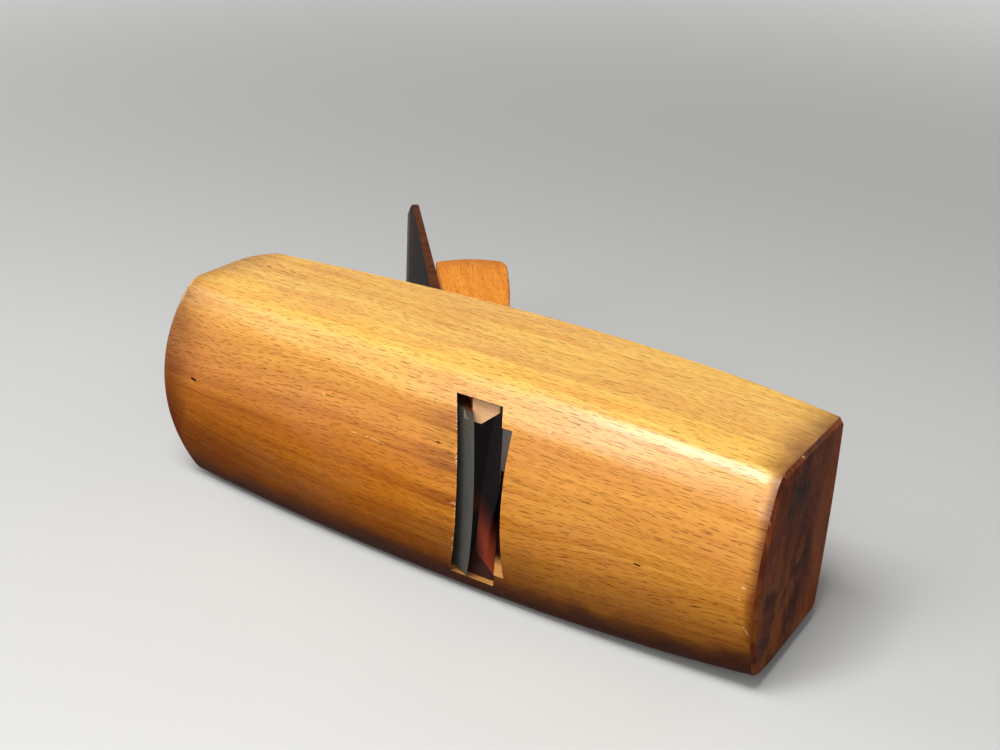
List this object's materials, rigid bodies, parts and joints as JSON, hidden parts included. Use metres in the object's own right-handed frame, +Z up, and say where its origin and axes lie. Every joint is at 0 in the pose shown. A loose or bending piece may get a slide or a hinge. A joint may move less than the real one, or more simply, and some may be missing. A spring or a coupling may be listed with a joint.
{
  "type": "hand plane",
  "caption": "Wooden coffin-shaped hand plane whose sole is rounded along and across, with a tapered iron held on its bed by a forked wedge.",
  "frame": {"origin": "on the surface that the plane lies on, where the middle of its lower cheek rests: in line with the foot of the bed along the length, and half-way between the sole and the top", "axes": "+X towards the toe, along the stock; +Y from the sole to the top; +Z up, across the width of the stock as it lies on one cheek"},
  "size_m": [0.2095, 0.1509, 0.0692],
  "materials": {
    "stock_wood": "oiled beech, worn satin",
    "wedge_wood": "oiled beech, satin",
    "iron_steel": "dark patina, rust-brown sides, dull grey bevel"
  },
  "bodies": {
    "stock": {"stock": "stock_wood"},
    "wedge": {"wedge": "wedge_wood"},
    "iron": {"iron": "iron_steel"}
  },
  "joints": [
    {"name": "wedge_slide", "type": "slide", "parent": "stock", "child": "wedge", "axis": [-0.6334, 0.7738, 0], "range_m": [0, 0.09]},
    {"name": "iron_slide", "type": "slide", "parent": "wedge", "child": "iron", "axis": [-0.6334, 0.7738, 0], "range_m": [-0.012, 0]}
  ]
}
